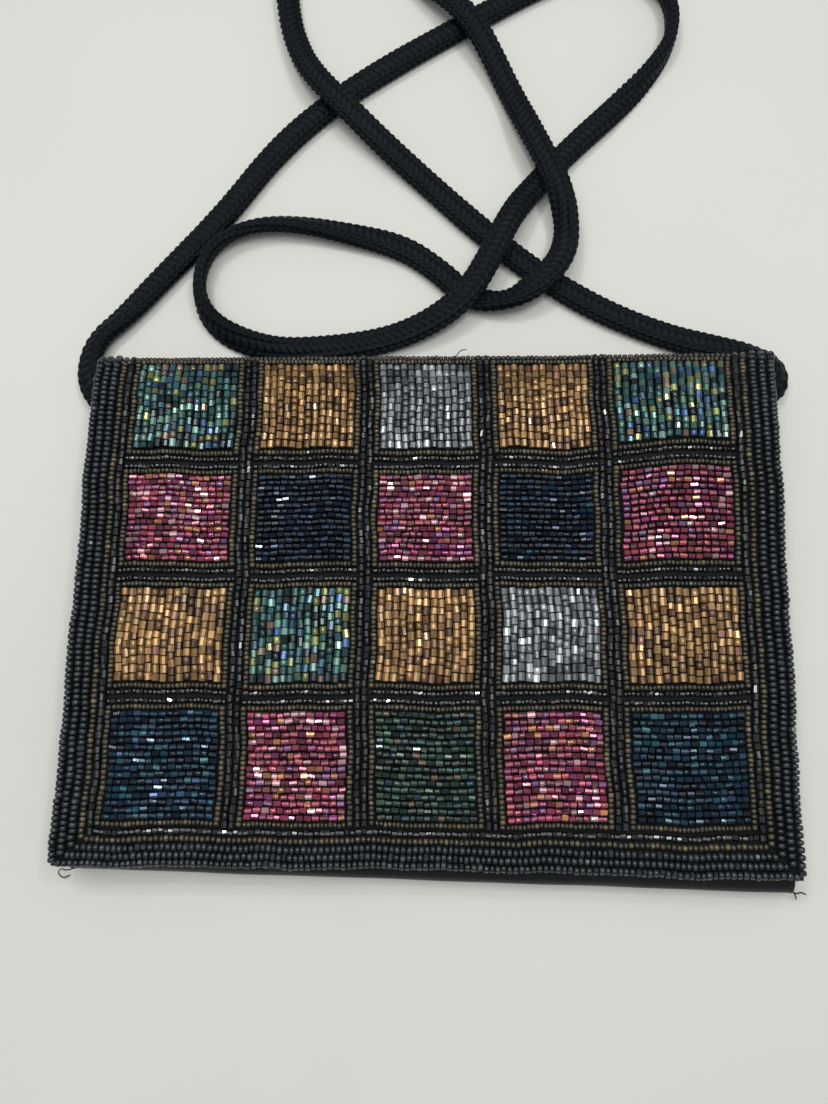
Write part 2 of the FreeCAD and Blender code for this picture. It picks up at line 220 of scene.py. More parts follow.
def slab(name, top, under):
    """A closed sheet between two grids of points in mm."""
    rows, columns, _ = top.shape
    verts = np.concatenate([top.reshape(-1, 3), under.reshape(-1, 3)])
    count = rows * columns
    faces = grid_faces(rows, columns)
    rim = list(range(columns))
    rim += [r * columns + columns - 1 for r in range(1, rows)]
    rim += [(rows - 1) * columns + c for c in range(columns - 2, -1, -1)]
    rim += [r * columns for r in range(rows - 2, 0, -1)]
    rim = np.array(rim)
    following = np.roll(rim, -1)
    edge = np.stack([following, rim, rim + count, following + count], -1)
    return mesh_object(name, verts, np.concatenate([faces, faces[:, ::-1] + count, edge]))


def shell(name, top, thickness):
    """A closed sheet of one thickness, from the grid of its outer points in mm."""
    normal = unit(np.cross(np.gradient(top, axis=1), np.gradient(top, axis=0)))
    return slab(name, top, top - normal * thickness)


def distances(points):
    """How far along a line each of its points lies."""
    steps = np.linalg.norm(np.diff(points, axis=0), axis=1)
    return np.concatenate([[0], np.cumsum(steps)])


def spaced(points, count):
    """The same line through so many evenly spaced points."""
    along = distances(points)
    wanted = np.linspace(0, along[-1], count)
    return np.stack([np.interp(wanted, along, axis) for axis in points.T], -1)


def resample(points, step):
    """The same line through points a step apart."""
    return spaced(points, int(round(distances(points)[-1] / step)) + 1)


def round_off(corners):
    """A line with its corners cut three times over."""
    line = np.array(corners, float)
    for _ in range(3):
        middle = np.empty((len(line) * 2 - 2, line.shape[1]))
        middle[0::2] = line[:-1] * 0.75 + line[1:] * 0.25
        middle[1::2] = line[:-1] * 0.25 + line[1:] * 0.75
        line = np.concatenate([line[:1], middle, line[-1:]])
    return line


def loft(name, points, wide, thin, sides):
    """A closed round skin along points in mm, with its two half axes at each point."""
    angle = 2 * np.pi * np.arange(sides) / sides
    cos, sin = np.cos(angle)[None, :, None], np.sin(angle)[None, :, None]
    ring = points[:, None] + wide[:, None] * cos + thin[:, None] * sin
    last = (len(points) - 1) * sides
    cap = np.array([[0, k, k + 1, k + 2] for k in range(1, sides - 2, 2)])
    tube = grid_faces(len(points), sides, False, True)[:, ::-1]
    quads = np.concatenate([tube, cap, cap[:, ::-1] + last])
    return mesh_object(name, ring.reshape(-1, 3), quads)


def finish_piece(obj, material, body, slot, *nodes):
    """Give a piece its material and its body, and hide the CAD nodes it stands for. The slot is not used.
    """
    obj.data.materials.clear()
    obj.data.materials.append(material)
    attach(obj, body)
    if nodes:
        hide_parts(*nodes)


# -------------------------------- materials
def linear(colour):
    return tuple(((c + 0.055) / 1.055) ** 2.4 if c > 0.04 else c / 12.92 for c in colour)


class Shader:
    """A material under construction: its nodes, and links made by socket name."""

    def __init__(self, name):
        self.material = bpy.data.materials.new(name)
        self.material.use_nodes = True
        self.tree = self.material.node_tree
        self.bsdf = self.tree.nodes["Principled BSDF"]

    def node(self, kind, settings=None, **inputs):
        made = self.tree.nodes.new(kind)
        for key, value in (settings or {}).items():
            setattr(made, key, value)
        for key, value in inputs.items():
            self.feed(made.inputs[key.replace("_", " ")], value)
        return made

    def feed(self, socket, value):
        if isinstance(value, bpy.types.NodeSocket):
            self.tree.links.new(value, socket)
        else:
            socket.default_value = value

    def set(self, **inputs):
        for key, value in inputs.items():
            self.feed(self.bsdf.inputs[key.replace("_", " ")], value)
        return self

    def place(self):
        return self.node("ShaderNodeTexCoord").outputs["Object"]

    def noise(self, scale, detail=3.0, roughness=0.55, stretch=None, turn=0.0):
        """A noise of so many cells to the metre, stretched along an axis."""
        where = self.place()
        if stretch or turn:
            mapping = self.node("ShaderNodeMapping", Vector=where)
            mapping.inputs["Scale"].default_value = stretch or (1, 1, 1)
            mapping.inputs["Rotation"].default_value = (0, 0, turn)
            where = mapping.outputs[0]
        made = self.node(
            "ShaderNodeTexNoise", Vector=where, Scale=scale, Detail=detail, Roughness=roughness
        )
        return made.outputs["Fac"]

    def wave(self, scale, turn=0.0, distortion=0.6):
        """Fine parallel threads, so many radians to the metre."""
        mapping = self.node("ShaderNodeMapping", Vector=self.place())
        mapping.inputs["Rotation"].default_value = (0, 0, turn)
        made = self.node(
            "ShaderNodeTexWave", Vector=mapping.outputs[0], Scale=scale, Distortion=distortion
        )
        made.inputs["Detail"].default_value = 1.0
        return made.outputs["Fac"]

    def ramp(self, value, *stops):
        made = self.node("ShaderNodeValToRGB", Fac=value)
        ramp = made.color_ramp
        while len(ramp.elements) < len(stops):
            ramp.elements.new(0.5)
        for element, (place, colour) in zip(ramp.elements, stops):
            element.position = place
            element.color = (*colour, 1)
        return made.outputs["Color"]

    def mix(self, factor, first, second, kind="MIX"):
        made = self.node("ShaderNodeMix", {"data_type": "RGBA", "blend_type": kind})
        self.feed(made.inputs[0], factor)
        self.feed(made.inputs[6], first)
        self.feed(made.inputs[7], second)
        return made.outputs[2]

    def grey(self, low, high, value):
        made = self.node("ShaderNodeMapRange", Value=value, To_Min=low, To_Max=high)
        return made.outputs[0]

    def bump(self, height, distance, strength=1.0, onto=None):
        made = self.node("ShaderNodeBump", Height=height, Distance=distance, Strength=strength)
        if onto is not None:
            self.feed(made.inputs["Normal"], onto)
        return made.outputs[0]


def satin_material(name, dark, light, roughness):
    s = Shader(name)
    cloudy = s.noise(22, 4.0)
    s.set(Base_Color=s.ramp(cloudy, (0.3, linear(dark)), (0.75, linear(light))))
    s.set(Roughness=s.grey(roughness - 0.06, roughness + 0.1, s.noise(60)))
    folds = s.bump(s.noise(30, 3.0, 0.5, (1, 2.4, 1)), 0.0016, 0.6)
    threads = s.bump(s.wave(640, 0.0, 0.3), 0.00004, 0.5, folds)
    crossing = s.bump(s.wave(420, math.pi / 2, 0.3), 0.00003, 0.35, threads)
    s.set(Normal=crossing)
    s.bsdf.inputs["Sheen Weight"].default_value = 0.05
    s.bsdf.inputs["Sheen Roughness"].default_value = 0.4
    s.bsdf.inputs["Specular IOR Level"].default_value = 0.3
    return s.material


def cloth_material(name, dark, light, turn=0.6, scale=520):
    s = Shader(name)
    s.set(Base_Color=s.ramp(s.noise(70, 4.0), (0.3, linear(dark)), (0.75, linear(light))))
    s.set(Roughness=s.grey(0.72, 0.92, s.noise(200)))
    twill = s.bump(s.wave(scale, turn, 0.5), 0.00008, 0.7)
    s.set(Normal=s.bump(s.noise(900, 2.0), 0.00006, 0.5, twill))
    s.bsdf.inputs["Sheen Weight"].default_value = 0.05
    s.bsdf.inputs["Specular IOR Level"].default_value = 0.2
    return s.material


def braid_material():
    s = Shader("braid_yarn")
    relief = s.node("ShaderNodeAttribute", {"attribute_name": "relief"}).outputs["Fac"]
    # Painted shade: the yarn is coloured near black in the hollows between the tufts and lighter on their
    # crests, following the relief.
    hollow, crest = linear((0.004, 0.008, 0.012)), linear((0.055, 0.105, 0.135))
    relief_shading = s.ramp(relief, (0.2, hollow), (1.0, crest))
    worn = s.ramp(s.noise(55, 4.0), (0.35, (0.75, 0.78, 0.8)), (0.8, (1.15, 1.12, 1.1)))
    s.set(Base_Color=s.mix(1.0, relief_shading, worn, "MULTIPLY"))
    s.set(Roughness=s.grey(0.42, 0.62, s.noise(400)))
    yarn = s.bump(s.wave(900, 0.5, 1.2), 0.00008, 0.6)
    s.set(Normal=s.bump(s.noise(1500, 2.0), 0.00008, 0.5, yarn))
    s.bsdf.inputs["Sheen Weight"].default_value = 0.03
    s.bsdf.inputs["Sheen Roughness"].default_value = 0.35
    s.bsdf.inputs["Specular IOR Level"].default_value = 0.13
    return s.material


def bead_material(name, metallic, roughness, coat, drift, drift_share, shine=0.5):
    """Glass whose lustre comes from its own colour, drifting in spots to a second one: partly the
    coating's own colour change, partly painted sheen and shading within each bead.
    """
    s = Shader(name)
    tint = s.node("ShaderNodeAttribute", {"attribute_name": "tint"}).outputs["Color"]
    sheen_spots = s.ramp(s.noise(620, 2.0), (0.46, (0, 0, 0)), (0.72, (1, 1, 1)))
    share = s.node("ShaderNodeMath", {"operation": "MULTIPLY"})
    s.feed(share.inputs[0], sheen_spots)
    share.inputs[1].default_value = drift_share
    sheen_colour = s.mix(0.55, tint, (*linear(drift), 1))
    s.set(Base_Color=s.mix(share.outputs[0], tint, sheen_colour))
    s.set(Roughness=s.grey(roughness * 0.7, roughness * 1.5, s.noise(500, 2.0)))
    s.set(Normal=s.bump(s.noise(1300, 2.0), 0.00005, 0.45))
    s.bsdf.inputs["Metallic"].default_value = metallic
    s.bsdf.inputs["Coat Weight"].default_value = coat
    s.bsdf.inputs["Coat Roughness"].default_value = 0.08
    s.bsdf.inputs["Specular IOR Level"].default_value = shine
    return s.material


def metal_material():
    s = Shader("nickel")
    s.set(Base_Color=s.ramp(s.noise(300), (0.3, (0.42, 0.42, 0.41)), (0.8, (0.62, 0.61, 0.6))))
    s.set(Roughness=s.grey(0.2, 0.4, s.noise(700)))
    s.set(Normal=s.bump(s.noise(1200), 0.00004, 0.4))
    s.bsdf.inputs["Metallic"].default_value = 1.0
    return s.material


def board_material():
    s = Shader("greyboard")
    s.set(Base_Color=s.ramp(s.noise(400), (0.3, (0.26, 0.23, 0.19)), (0.8, (0.42, 0.38, 0.32))))
    s.set(Roughness=s.grey(0.8, 0.95, s.noise(300)))
    s.set(Normal=s.bump(s.noise(900, 5.0), 0.0001, 0.6))
    return s.material


def floor_material():
    s = Shader("pale_table")
    low, high = linear((0.84, 0.842, 0.815)), linear((0.86, 0.862, 0.835))
    s.set(Base_Color=s.ramp(s.noise(6, 3.0), (0.3, low), (0.8, high)))
    s.set(Roughness=s.grey(0.6, 0.7, s.noise(40)))
    s.set(Normal=s.bump(s.noise(700, 3.0), 0.00003, 0.25))
    return s.material


SATIN = satin_material("black_satin", (0.03, 0.038, 0.048), (0.05, 0.062, 0.078), 0.42)
LINING = cloth_material("black_lining", (0.05, 0.052, 0.058), (0.085, 0.088, 0.095))
GROUND = cloth_material("bead_ground", (0.045, 0.052, 0.056), (0.08, 0.088, 0.093), 0.0, 700)
BINDING = cloth_material("edge_binding", (0.04, 0.044, 0.052), (0.075, 0.08, 0.09), 0.0, 900)
WADDING = cloth_material("felt_wadding", (0.30, 0.30, 0.31), (0.42, 0.42, 0.43), 0.2, 200)
THREAD = cloth_material("sewing_thread", (0.06, 0.065, 0.075), (0.12, 0.125, 0.135), 0.8, 1500)
BOARD = board_material()
NICKEL = metal_material()
BRAID = braid_material()
IRIDESCENT = bead_material("glass_iridescent", 0.5, 0.2, 0.6, (0.34, 0.40, 0.36), 0.5)
LUSTRE = bead_material("glass_lustre", 0.6, 0.3, 0.4, (0.70, 0.58, 0.42), 0.35)
SILVERED = bead_material("glass_silvered", 0.6, 0.3, 0.4, (0.58, 0.6, 0.62), 0.3)
RAINBOW = bead_material("glass_rainbow", 0.55, 0.12, 1.0, (0.72, 0.5, 0.5), 0.45, 0.9)
INKY = bead_material("glass_inky", 0.45, 0.1, 0.5, (0.12, 0.27, 0.4), 0.35, 0.3)
BRONZE = bead_material("glass_bronze", 0.2, 0.34, 0.4, (0.3, 0.29, 0.25), 0.4, 0.4)
CUT_BLACK = bead_material("glass_cut_black", 0.0, 0.07, 1.0, (0.05, 0.055, 0.07), 0.3, 0.6)
MATT_BLACK = bead_material("glass_matt_black", 0.15, 0.3, 0.3, (0.12, 0.13, 0.16), 0.3, 0.35)
SEED_BLACK = bead_material("glass_seed_black", 0.2, 0.26, 0.35, (0.14, 0.19, 0.26), 0.3, 0.4)


# -------------------------------- camera and light
def make_camera():
    data = bpy.data.cameras.new("camera")
    data.sensor_width = 36.0
    data.lens = 27.03
    data.clip_start = 0.01
    camera = link(bpy.data.objects.new("camera", data))
    camera.location = (-0.0051, -0.0369, 0.2646)
    camera.rotation_euler = (math.radians(12.3), 0, 0)
    bpy.context.scene.camera = camera


def area_light(name, place, size, power, colour, target=(0, 0, 0)):
    data = bpy.data.lights.new(name, "AREA")
    data.shape = "RECTANGLE"
    data.size, data.size_y = size
    data.energy = power
    data.color = colour
    lamp = link(bpy.data.objects.new(name, data))
    lamp.location = place
    aim = np.array(target) - np.array(place)
    lamp.rotation_euler = Vector(aim).to_track_quat("-Z", "Y").to_euler()


def make_stage():
    reach = np.linspace(-FLOOR_HALF, FLOOR_HALF, 5)
    grid_x, grid_y = np.meshgrid(reach, reach)
    points = np.stack([grid_x, grid_y, np.full((5, 5), -0.05)], -1).reshape(-1, 3)
    floor = mesh_object("table_top", points, grid_faces(5, 5))
    floor.data.materials.append(floor_material())
    world = bpy.data.worlds.new("studio")
    world.use_nodes = True
    background = world.node_tree.nodes["Background"]
    background.inputs[0].default_value = (0.93, 0.96, 1.0, 1)
    background.inputs[1].default_value = 0.33
    bpy.context.scene.world = world
    area_light("ceiling", (-0.05, 0.2, 1.3), (1.7, 1.5), 9.0, (0.99, 0.99, 0.965), (0, 0.05, 0))
    area_light("window", (-0.42, 0.5, 1.2), (0.4, 0.26), 1.6, (1.0, 0.98, 0.95))
    area_light("door", (0.42, 0.16, 1.15), (0.34, 0.26), 1.7, (0.96, 0.98, 1.0))
    area_light("lamp_front", (-0.12, -0.04, 0.85), (0.05, 0.05), 0.4, (1, 0.98, 0.95))
    area_light("lamp_left", (-0.25, 0.42, 0.75), (0.05, 0.05), 0.6, (1, 0.97, 0.92))
    area_light("lamp_right", (0.34, 0.3, 0.8), (0.05, 0.05), 0.6, (1, 1, 1))
    bpy.context.scene.view_settings.view_transform = "Standard"


# -------------------------------- the shoulder cord
def route_curve():
    """The cord's centre line: a smooth spline steered by its route."""
    curve = bpy.data.curves.new("cord_line", "CURVE")
    curve.dimensions = "3D"
    spline = curve.splines.new("NURBS")
    spline.points.add(len(CORD_ROUTE) - 1)
    for point, place in zip(spline.points, CORD_ROUTE):
        point.co = (place[0] * MM, place[1] * MM, place[2] * MM, 1)
    spline.order_u = 3
    spline.use_endpoint_u = True
    spline.resolution_u = 16
    line = link(bpy.data.objects.new("cord_line", curve))
    bpy.context.view_layer.update()
    mesh = bpy.data.meshes.new_from_object(line)
    points = np.array([v.co for v in mesh.vertices]) / MM
    bpy.data.objects.remove(line)
    return points


def braid_axes(line, points, along):
    """The braid's wide and thin directions at each point, turned by its twist."""
    share = np.linspace(0, len(CORD_ROUTE) - 1, len(line))
    index = np.interp(along, distances(line), share)
    twist = np.interp(index, list(CORD_TWIST), list(CORD_TWIST.values()))
    smoothing = 17
    twist = np.pad(twist, smoothing // 2, "edge")
    twist = np.radians(np.convolve(twist, np.ones(smoothing) / smoothing, "valid"))[:, None]
    tangent = unit(np.gradient(points, axis=0))
    side = unit(np.cross(tangent, np.array([0.0, 0.0, 1.0])))
    up = np.cross(side, tangent)
    return side * np.cos(twist) + up * np.sin(twist), up * np.cos(twist) - side * np.sin(twist)


def braid_relief(around, along):
    """How high the yarn stands, 0 to 1: slanting tufts in columns, each one mirrored."""
    cell = around * TUFT_COLUMNS
    inside = cell - np.floor(cell)
    lean = np.where(np.floor(cell) % 2 == 0, inside, 1 - inside)
    phase = along[:, None] / TUFT_LENGTH + TUFT_SLANT * lean
    tuft = np.abs(np.cos(np.pi * phase)) ** 0.7
    return tuft * (0.35 + 0.65 * np.sin(np.pi * inside) ** 0.45)


def make_cord():
    """The flat braid along its route, standing on the table where it lies on it."""
    line = route_curve()
    points = resample(line, BRAID_STEP)
    along = np.linspace(0, distances(line)[-1], len(points))
    wide, thin = braid_axes(line, points, along)
    around = np.arange(BRAID_SIDES) / BRAID_SIDES
    relief = braid_relief(around, along)
    wander = 0.06 * np.sin(along / 23.0) + 0.048 * np.sin(along / 7.3 + 1.0)
    grow = relief + wander[:, None]
    half_wide = (BRAID_HALF_WIDE + grow) * rounded(np.cos(2 * np.pi * around), 0.72)
    half_thin = (BRAID_HALF_THIN + grow) * rounded(np.sin(2 * np.pi * around), 0.62)
    ring = wide[:, None] * half_wide[..., None] + thin[:, None] * half_thin[..., None]
    ring += points[:, None]
    ring[..., 2] = np.maximum(ring[..., 2], 0.1 + 0.05 * (1 - relief))
    verts = np.concatenate([ring.reshape(-1, 3), points[:1], points[-1:]])
    quads = grid_faces(len(points), BRAID_SIDES, False, True)[:, ::-1]
    last = (len(points) - 1) * BRAID_SIDES
    hub = last + BRAID_SIDES
    ends = []
    for k in range(0, BRAID_SIDES, 2):
        one, two = (k + 1) % BRAID_SIDES, (k + 2) % BRAID_SIDES
        ends.append([hub, k, one, two])
        ends.append([hub + 1, last + two, last + one, last + k])
    cord = mesh_object("cord_braid", verts, np.concatenate([quads, ends]))
    # The relief also drives the braid's painted shade: darker colour in the hollows, lighter on the
    # crests.
    layer = cord.data.attributes.new("relief", "FLOAT", "POINT")
    layer.data.foreach_set("value", np.concatenate([relief.ravel(), [0, 0]]).astype(np.float32))
    finish_piece(cord, BRAID, "back", "braid", "cord")
    return points


# -------------------------------- beads
def bead_shape(profile, sides):
    """One bead along x, of length 1 and radius 1, open through its hole."""
    angle = 2 * np.pi * (np.arange(sides) + 0.5) / sides
    cos, sin = np.cos(angle), np.sin(angle)
    rings = [np.stack([np.full(sides, x), radius * cos, radius * sin], -1) for x, radius in profile]
    return np.concatenate(rings), grid_faces(len(profile), sides, True, True)


TWO_CUT = bead_shape(
    [(-0.5, 0.4), (-0.5, 0.84), (-0.45, 1.0), (0.45, 1.0), (0.5, 0.84), (0.5, 0.4)], 8
)
SEED = bead_shape(
    [(-0.34, 0.42), (-0.5, 0.66), (-0.3, 1.0), (0.3, 1.0), (0.5, 0.66), (0.34, 0.42)], 8
)


def waves(a, b, seed):
    """A slow wander between about -1 and 1 over two lengths in mm."""
    return (
        0.5 * np.sin(a / 9.1 + b / 31.0 + seed)
        + 0.3 * np.sin(a / 4.3 - b / 17.0 + seed * 2.3)
        + 0.2 * np.sin(a / 2.6 + b / 11.0 + seed * 4.1)
    )


def ramp_up(value, start, reach):
    """From 0 at the start to 1 after the reach, which may be negative."""
    return np.clip((value - start) / reach, 0, 1)


def puff(x, s):
    """How far each square swells, from 0 at its edges to 1 in the middle."""
    half_wide, outer_shift, blunt = 15.5, 1.3, 2.4
    column = np.clip(np.round(x / PITCH), -2, 2)
    middle = column * PITCH + np.where(np.abs(column) == 2, np.sign(column) * outer_shift, 0)
    u = ramp_up(np.abs(x - middle), 0, half_wide)
    swell = np.zeros_like(x)
    for low, high in ROW_BOUNDS:
        v = ramp_up(np.abs(s - (low + high) / 2), 0, (high - low) / 2 + 0.6)
        swell = np.maximum(swell, (1 - u ** blunt) * (1 - v ** blunt))
    return swell


def drift(x, s):
    """Where the sewn work has moved off its layout: out at the sides, up and down."""
    rise = (s - FLAP_FOOT) / (FOLD_LINE - FLAP_FOOT)
    outward = np.clip((x - 60) / 48, 0, 1.2) * (0.9 + 5.4 * rise)
    across = x - 2.0 + 0.8 * rise + outward + 0.5 * waves(s, x * 0.6, 1.7)
    slant = -1.1 * x / FLAP_HALF * np.clip(1 - 2.2 * rise, 0, 1)
    sag = 2.2 * ramp_up(s, -62, -13) * ramp_up(x, 10, 95)
    lift = 3.4 * ramp_up(x, 45, 30) * np.exp(-(((s - 52) / 27) ** 2))
    wander = 0.52 * waves(x, s * 0.6, 4.2) * ramp_up(s, FOLD_START, -8)
    return across, s + slant - sag + lift + wander


def on_flap(x, s, h):
    """A place over the flap's ground: across, from foot to fold, and height above it."""
    x, s, h = np.broadcast_arrays(np.asarray(x, float), np.asarray(s, float), np.asarray(h, float))
    across, along = drift(x, s)
    bulge = 0.85 * puff(x, s) + 0.3 * waves(x * 0.4, s * 0.4, 0.5)
    height = h + bulge * ramp_up(s, FOLD_START, -6)
    start = FOLD_START + 1.2 + 2.4 * ramp_up(x, -FLAP_HALF, 2 * FLAP_HALF)
    angle = np.clip(along - start, 0, None) / (FOLD_RADIUS + 1.0)
    radius = FOLD_RADIUS + height
    y = np.where(along > start, start + radius * np.sin(angle), along)
    z_roll = GROUND_TOP - FOLD_RADIUS + radius * np.cos(angle)
    z = np.where(along > start, z_roll, GROUND_TOP + height)
    droop = 0.7 * ramp_up(np.abs(x), 98, 10) ** 2
    droop = droop + 0.6 * ramp_up(s, -67, -9) ** 2
    droop = droop + 1.1 * ramp_up(s, 66, 14) ** 1.6
    return np.stack([across, y, z - droop], -1)


class Strands:
    """Beads threaded along straight strands of the flap's layout."""

    def __init__(self, shape, cut_share, spread=0.24):
        self.shape = shape
        self.cut_share = cut_share
        self.spread = spread
        self.verts, self.quads, self.tints = [], [], []
        self.count = 0

    def run(
        self, start, stop, palette, length, radius, height=0.0, vary=0.1, tilt=0.05, gap=0.14
    ):
        """Thread beads from one layout point to another."""
        start, stop = np.array(start, float), np.array(stop, float)
        span = np.linalg.norm(stop - start)
        number = max(1, int(round(span / length)))
        sizes = 1 + vary * RNG.uniform(-1, 1, number)
        sizes *= span / sizes.sum()
        places = np.cumsum(sizes) - sizes / 2
        way = (stop - start) / span
        across = np.array([-way[1], way[0]])
        slip = RNG.normal(0, 0.07, number)
        flat = start + places[:, None] * way + slip[:, None] * across
        lift = radius + 0.05 + height + RNG.normal(0, 0.06, number)
        centre = on_flap(*flat.T, lift)
        axis = unit(on_flap(*(flat + 0.4 * way).T, lift) - centre)
        beside = unit(on_flap(*(flat + 0.4 * across).T, lift) - centre)
        normal = unit(np.cross(axis, beside))
        beside = np.cross(normal, axis)
        yaw = RNG.normal(0, tilt, number)[:, None]
        pitch = RNG.normal(0, tilt * 0.7, number)[:, None]
        axis = unit(axis + beside * yaw + normal * pitch)
        beside = unit(np.cross(normal, axis))
        normal = np.cross(axis, beside)
        roll = RNG.uniform(0, 2 * np.pi, number)[:, None]
        second = beside * np.cos(roll) + normal * np.sin(roll)
        third = -beside * np.sin(roll) + normal * np.cos(roll)
        thick = radius * (1 + RNG.normal(0, 0.035, number))
        local, faces = self.shape
        long = sizes - gap * RNG.uniform(0.5, 1.5, number)
        axes = np.stack([axis * long[:, None], second * thick[:, None], third * thick[:, None]], 1)
        verts = centre[:, None] + local @ axes
        each = len(local)
        base = self.count + np.arange(number) * each
        self.verts.append(verts.reshape(-1, 3))
        self.quads.append((faces[None] + base[:, None, None]).reshape(-1, 4))
        patch = waves(flat[:, 0] * 0.9, flat[:, 1] * 0.9, len(palette) + flat[0, 0] * 0.02)
        tints = pick(palette, number, patch, self.spread)
        self.tints.append(np.repeat(tints, each, axis=0))
        self.count += number * each

    def make(self, name, material, slot, node):
        quads = np.concatenate(self.quads)
        each = len(self.shape[1])
        flat = np.repeat(RNG.uniform(0, 1, len(quads) // each) < self.cut_share, each)
        obj = mesh_object(name, np.concatenate(self.verts), quads, np.concatenate(self.tints), flat)
        finish_piece(obj, material, "flap", slot, node)


def pick(palette, number, patch, spread):
    """Colours drawn from a weighted palette, alike in patches, lighter or darker."""
    weights = np.array([w for w, _ in palette], float)
    colours = np.array([linear(c) for _, c in palette])
    share = (RNG.uniform(0, 1, number) + 0.22 * patch) % 1.0
    chosen = colours[np.searchsorted(np.cumsum(weights / weights.sum())[:-1], share)]
    return np.clip(chosen * np.exp(RNG.normal(0, spread, number))[:, None], 0, 1)


# The light aqua entry (0.48, 0.61, 0.58) is partly painted highlight: whole beads drawn pale to stand in
# for glints, beside the beads' own varied colours.
TEAL = [
    (24, (0.165, 0.325, 0.33)), (16, (0.29, 0.43, 0.38)), (16, (0.21, 0.345, 0.41)),
    (9, (0.48, 0.61, 0.58)), (9, (0.50, 0.52, 0.34)), (6, (0.50, 0.43, 0.38)),
    (16, (0.07, 0.13, 0.16)), (4, (0.24, 0.36, 0.54)),
]
GOLD = [
    (42, (0.59, 0.465, 0.31)), (25, (0.51, 0.395, 0.26)), (18, (0.67, 0.545, 0.385)),
    (9, (0.33, 0.24, 0.18)), (6, (0.51, 0.39, 0.33)),
]
SILVER = [
    (44, (0.47, 0.49, 0.50)), (25, (0.38, 0.40, 0.415)), (18, (0.56, 0.58, 0.585)),
    (8, (0.27, 0.29, 0.31)), (5, (0.70, 0.72, 0.73)),
]
# The pale pink entry (0.74, 0.58, 0.61) is partly painted highlight: whole beads drawn pale to stand in
# for glints, beside the beads' own varied colours.
PINK = [
    (30, (0.52, 0.16, 0.29)), (18, (0.44, 0.14, 0.34)), (14, (0.60, 0.25, 0.31)),
    (7, (0.68, 0.45, 0.30)), (9, (0.74, 0.58, 0.61)), (18, (0.35, 0.09, 0.18)),
    (4, (0.47, 0.30, 0.50)),
]
NAVY = [
    (38, (0.02, 0.065, 0.12)), (24, (0.03, 0.095, 0.165)), (14, (0.055, 0.145, 0.235)),
    (20, (0.012, 0.03, 0.07)), (4, (0.06, 0.22, 0.28)),
]
GREEN = [
    (30, (0.07, 0.17, 0.14)), (22, (0.11, 0.23, 0.18)), (12, (0.22, 0.33, 0.27)),
    (22, (0.05, 0.10, 0.12)), (6, (0.33, 0.28, 0.21)), (8, (0.10, 0.21, 0.26)),
]
PETROL = [
    (32, (0.05, 0.14, 0.21)), (24, (0.075, 0.18, 0.24)), (14, (0.12, 0.26, 0.315)),
    (22, (0.04, 0.06, 0.11)), (4, (0.2, 0.29, 0.42)), (4, (0.22, 0.39, 0.42)),
]
BRONZE_TONES = [
    (35, (0.275, 0.255, 0.195)), (25, (0.22, 0.21, 0.17)), (14, (0.365, 0.335, 0.24)),
    (17, (0.215, 0.215, 0.2)), (9, (0.29, 0.24, 0.19)),
]
EDGE_TONES = [(45, (0.19, 0.18, 0.165)), (35, (0.14, 0.145, 0.145)), (20, (0.26, 0.235, 0.2))]
CUT_TONES = [(60, (0.03, 0.036, 0.042)), (30, (0.045, 0.052, 0.06)), (10, (0.02, 0.022, 0.028))]
MATT_TONES = [(55, (0.085, 0.092, 0.098)), (30, (0.13, 0.14, 0.145)), (15, (0.05, 0.055, 0.065))]
SEED_TONES = [(60, (0.145, 0.17, 0.185)), (30, (0.18, 0.205, 0.22)), (10, (0.11, 0.135, 0.15))]

# How each kind of strand is threaded: the length and radius of its beads, the gap between
# them and its height over the ground in mm, and how much lengths vary and beads lean.
UPRIGHT = dict(length=2.45, height=0.1, vary=0.18, tilt=0.06)
LEVEL = dict(length=2.3, height=0.25, vary=0.18, tilt=0.09, gap=0.18)
RIM_UP = dict(length=1.42, radius=0.9, height=0.1, vary=0.14, tilt=0.07, gap=0.08)
RIM_ACROSS = dict(length=1.25, radius=0.78, height=0.15, vary=0.14, tilt=0.07, gap=0.08)
DARK_UP = dict(length=2.25, radius=0.96, height=-0.4, vary=0.16, tilt=0.09, gap=0.3)
DARK_ACROSS = dict(length=1.35, radius=0.8, height=-0.4, vary=0.25, tilt=0.2, gap=0.18)
DARK_FOOT = dict(length=1.5, radius=0.85, height=-0.1, vary=0.25, tilt=0.12)
DARK_EDGE = dict(length=2.3, radius=1.0, height=-0.1, vary=0.14, tilt=0.07, gap=0.26)
TOP_EDGE = dict(length=1.5, radius=0.88, height=-0.1, vary=0.2, tilt=0.12, gap=0.1)

SQUARES = [
    ["teal", "gold", "silver", "gold", "teal"],
    ["pink", "navy", "pink", "navy", "pink"],
    ["gold", "teal", "gold", "silver", "gold"],
    ["petrol", "pink", "green", "pink", "petrol"],
]
COLOURS = {
    "teal": (TEAL, IRIDESCENT), "gold": (GOLD, LUSTRE), "silver": (SILVER, SILVERED),
    "pink": (PINK, RAINBOW), "navy": (NAVY, INKY), "green": (GREEN, IRIDESCENT),
    "petrol": (PETROL, INKY),
}


def field_sides(column):
    clear = BAR_HALF + OUTLINE + GAP
    left = -OUTER_FIELD if column == 0 else PITCH * (column - 2.5) + clear
    right = OUTER_FIELD if column == 4 else PITCH * (column - 1.5) - clear
    return left, right


